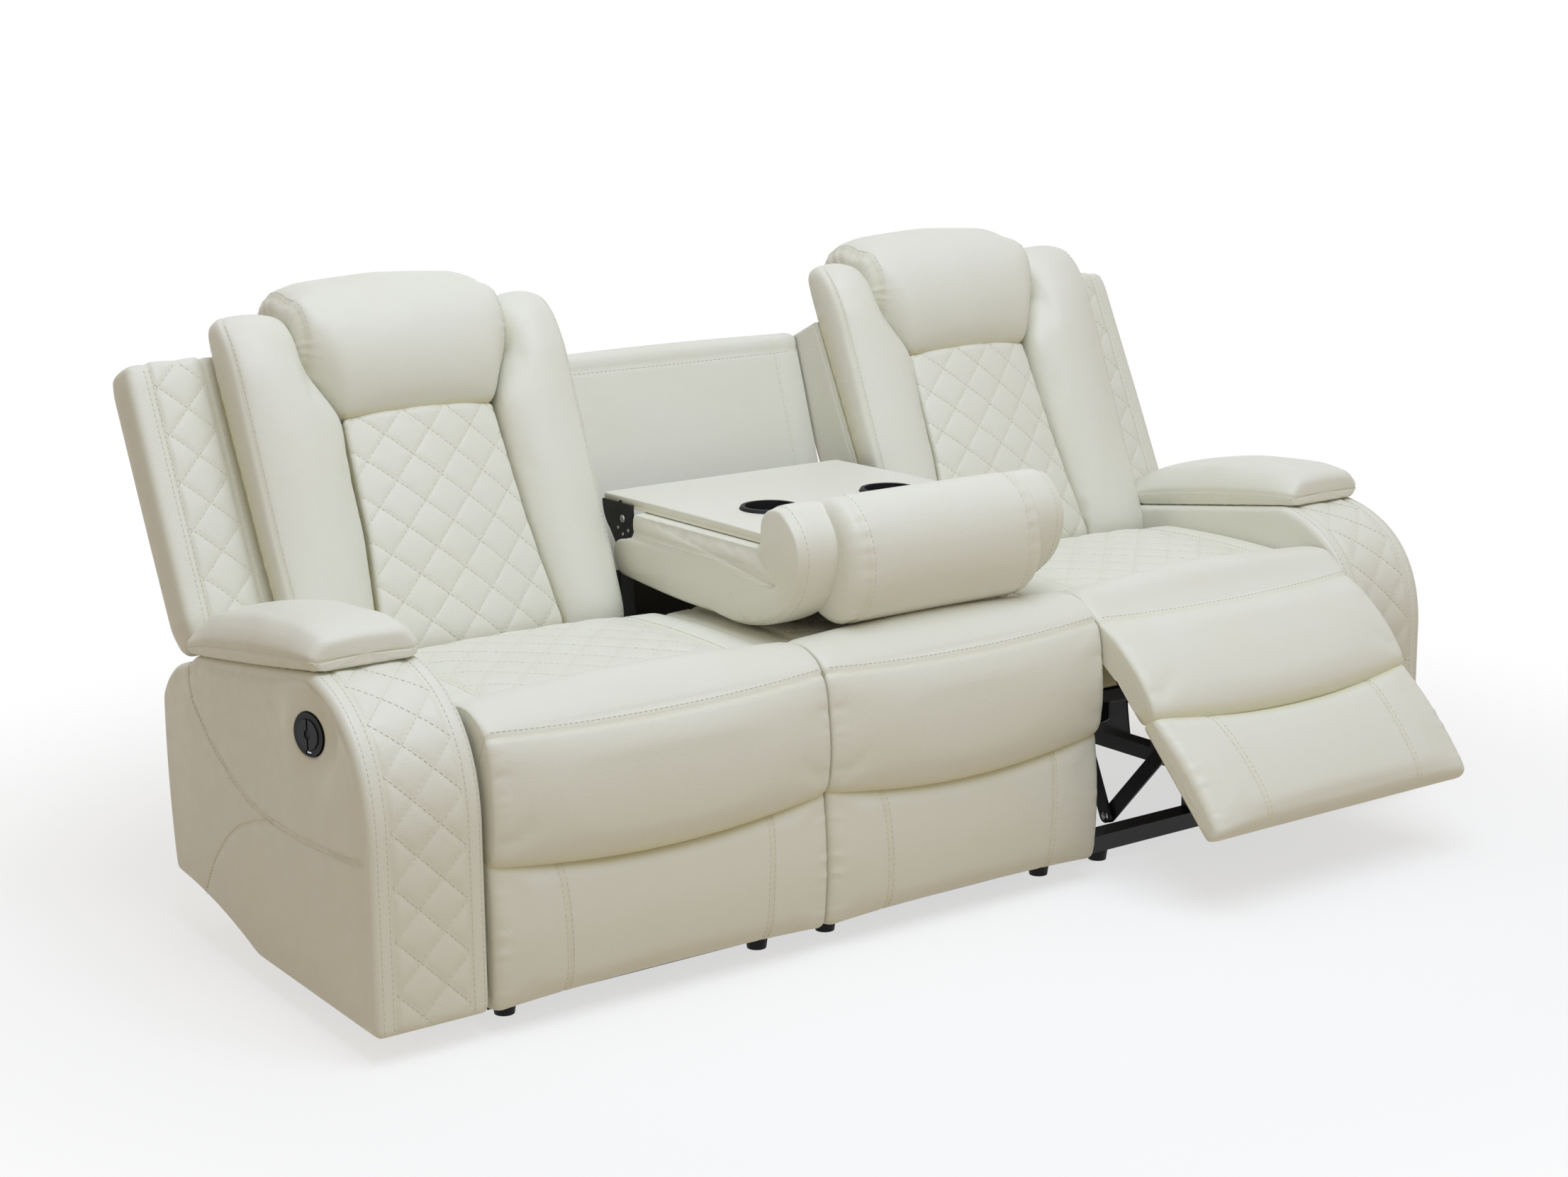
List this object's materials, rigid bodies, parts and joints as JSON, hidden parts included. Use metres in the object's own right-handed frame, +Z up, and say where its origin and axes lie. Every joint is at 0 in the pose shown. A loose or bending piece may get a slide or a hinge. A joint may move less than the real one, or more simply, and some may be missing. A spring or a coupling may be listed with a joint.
{
  "type": "power reclining sofa",
  "caption": "Wide sofa with power reclining end seats, linked footrests, arm controls and a middle back that folds down to a table with cup holders.",
  "frame": {"origin": "middle of the sofa's width and depth at rest, on the floor under its feet", "axes": "+X to the right as seen from the front, +Y to the back, +Z up"},
  "size_m": [2.098, 1.1946, 1.0076],
  "materials": {
    "ivory_leather": "satin, fine grain",
    "rear_cover": "satin, fine grain",
    "table_cover": "smooth satin",
    "plywood": "bare",
    "black_steel": "powder coat",
    "black_plastic": "matte",
    "button_plastic": "satin gloss"
  },
  "bodies": {
    "base": {"base_front_rail": "black_steel", "base_rear_rail": "black_steel", "base_side_rails": "plywood", "glide_feet": "black_plastic", "left_arm": "ivory_leather", "left_arm_pad": "ivory_leather", "left_control_bezel": "black_plastic", "left_seat_deck": "plywood", "left_seat_cushion": "ivory_leather", "left_mechanism_plates": "black_steel", "left_actuator_track": "black_steel", "left_actuator_motor": "black_plastic", "right_arm": "ivory_leather", "right_arm_pad": "ivory_leather", "right_control_bezel": "black_plastic", "right_seat_deck": "plywood", "right_seat_cushion": "ivory_leather", "right_mechanism_plates": "black_steel", "right_actuator_track": "black_steel", "right_actuator_motor": "black_plastic", "centre_seat_frame": "plywood", "centre_seat_cushion": "ivory_leather", "centre_front_panels": "ivory_leather", "centre_rear_panel": "rear_cover", "table_hinge_brackets": "black_steel"},
    "left_back": {"left_back_frame": "rear_cover", "left_back_bolsters": "ivory_leather", "left_back_panel": "ivory_leather", "left_headrest": "ivory_leather", "left_wing": "ivory_leather"},
    "left_footrest": {"left_footrest_board": "plywood", "left_footrest_upper_pad": "ivory_leather", "left_footrest_lower_pad": "ivory_leather"},
    "left_crank": {"left_torque_tube": "black_steel", "left_crank_links": "black_steel"},
    "left_coupler": {"left_coupler_links": "black_steel"},
    "left_carriage": {"left_actuator_carriage": "black_plastic"},
    "left_open_button": {"left_open_button": "button_plastic"},
    "left_close_button": {"left_close_button": "button_plastic"},
    "right_back": {"right_back_frame": "rear_cover", "right_back_bolsters": "ivory_leather", "right_back_panel": "ivory_leather", "right_headrest": "ivory_leather", "right_wing": "ivory_leather"},
    "right_footrest": {"right_footrest_board": "plywood", "right_footrest_upper_pad": "ivory_leather", "right_footrest_lower_pad": "ivory_leather"},
    "right_crank": {"right_torque_tube": "black_steel", "right_crank_links": "black_steel"},
    "right_coupler": {"right_coupler_links": "black_steel"},
    "right_carriage": {"right_actuator_carriage": "black_plastic"},
    "right_open_button": {"right_open_button": "button_plastic"},
    "right_close_button": {"right_close_button": "button_plastic"},
    "table": {"table_board": "table_cover", "cup_holders": "black_plastic", "table_headrest": "ivory_leather", "table_bolsters": "ivory_leather", "table_back_panel": "ivory_leather", "table_hinge_arms": "black_steel"}
  },
  "joints": [
    {"name": "left_recline", "type": "hinge", "parent": "base", "child": "left_back", "pos_m": [-0.57, 0.27928, 0.3], "axis": [-1, 0, 0], "range_deg": [0, 32]},
    {"name": "left_footrest_lift", "type": "hinge", "parent": "base", "child": "left_footrest", "pos_m": [-0.57, -0.32372, 0.437], "axis": [-1, 0, 0], "range_deg": [0, 80]},
    {"name": "left_crank_turn", "type": "hinge", "parent": "base", "child": "left_crank", "pos_m": [-0.57, -0.15572, 0.25], "axis": [-1, 0, 0], "range_deg": [0, 80]},
    {"name": "left_coupler_turn", "type": "hinge", "parent": "left_footrest", "child": "left_coupler", "pos_m": [-0.57, -0.25472, 0.252], "axis": [-1, 0, 0], "range_deg": [-80, 0]},
    {"name": "left_carriage_slide", "type": "slide", "parent": "base", "child": "left_carriage", "axis": [0, -1, 0], "range_m": [0, 0.107]},
    {"name": "left_open_press", "type": "slide", "parent": "base", "child": "left_open_button", "axis": [0.9781, 0.2079, 0], "range_m": [0, 0.002], "stiffness_N_per_m": 900},
    {"name": "left_close_press", "type": "slide", "parent": "base", "child": "left_close_button", "axis": [0.9781, 0.2079, 0], "range_m": [0, 0.002], "stiffness_N_per_m": 900},
    {"name": "right_recline", "type": "hinge", "parent": "base", "child": "right_back", "pos_m": [0.57, 0.27928, 0.3], "axis": [-1, 0, 0], "range_deg": [0, 32]},
    {"name": "right_footrest_lift", "type": "hinge", "parent": "base", "child": "right_footrest", "pos_m": [0.57, -0.32372, 0.437], "axis": [-1, 0, 0], "range_deg": [-44, 36]},
    {"name": "right_crank_turn", "type": "hinge", "parent": "base", "child": "right_crank", "pos_m": [0.57, -0.15572, 0.25], "axis": [-1, 0, 0], "range_deg": [-44, 36]},
    {"name": "right_coupler_turn", "type": "hinge", "parent": "right_footrest", "child": "right_coupler", "pos_m": [0.57, -0.40259, 0.25599], "axis": [-1, 0, 0], "range_deg": [-36, 44]},
    {"name": "right_carriage_slide", "type": "slide", "parent": "base", "child": "right_carriage", "axis": [0, -1, 0], "range_m": [-0.0589, 0.0482]},
    {"name": "right_open_press", "type": "slide", "parent": "base", "child": "right_open_button", "axis": [-0.9781, 0.2079, 0], "range_m": [0, 0.002], "stiffness_N_per_m": 900},
    {"name": "right_close_press", "type": "slide", "parent": "base", "child": "right_close_button", "axis": [-0.9781, 0.2079, 0], "range_m": [0, 0.002], "stiffness_N_per_m": 900},
    {"name": "table_fold", "type": "hinge", "parent": "base", "child": "table", "pos_m": [0, 0.25428, 0.505], "axis": [-1, 0, 0], "range_deg": [0, 108]}
  ],
  "couplings": [
    {"joint": "left_crank_turn", "follows": "left_footrest_lift", "ratio": 1},
    {"joint": "left_coupler_turn", "follows": "left_footrest_lift", "ratio": -1},
    {"joint": "left_carriage_slide", "follows": "left_footrest_lift", "m_per_rad": 0.0766},
    {"joint": "right_crank_turn", "follows": "right_footrest_lift", "ratio": 1},
    {"joint": "right_coupler_turn", "follows": "right_footrest_lift", "ratio": -1},
    {"joint": "right_carriage_slide", "follows": "right_footrest_lift", "m_per_rad": 0.0766}
  ]
}
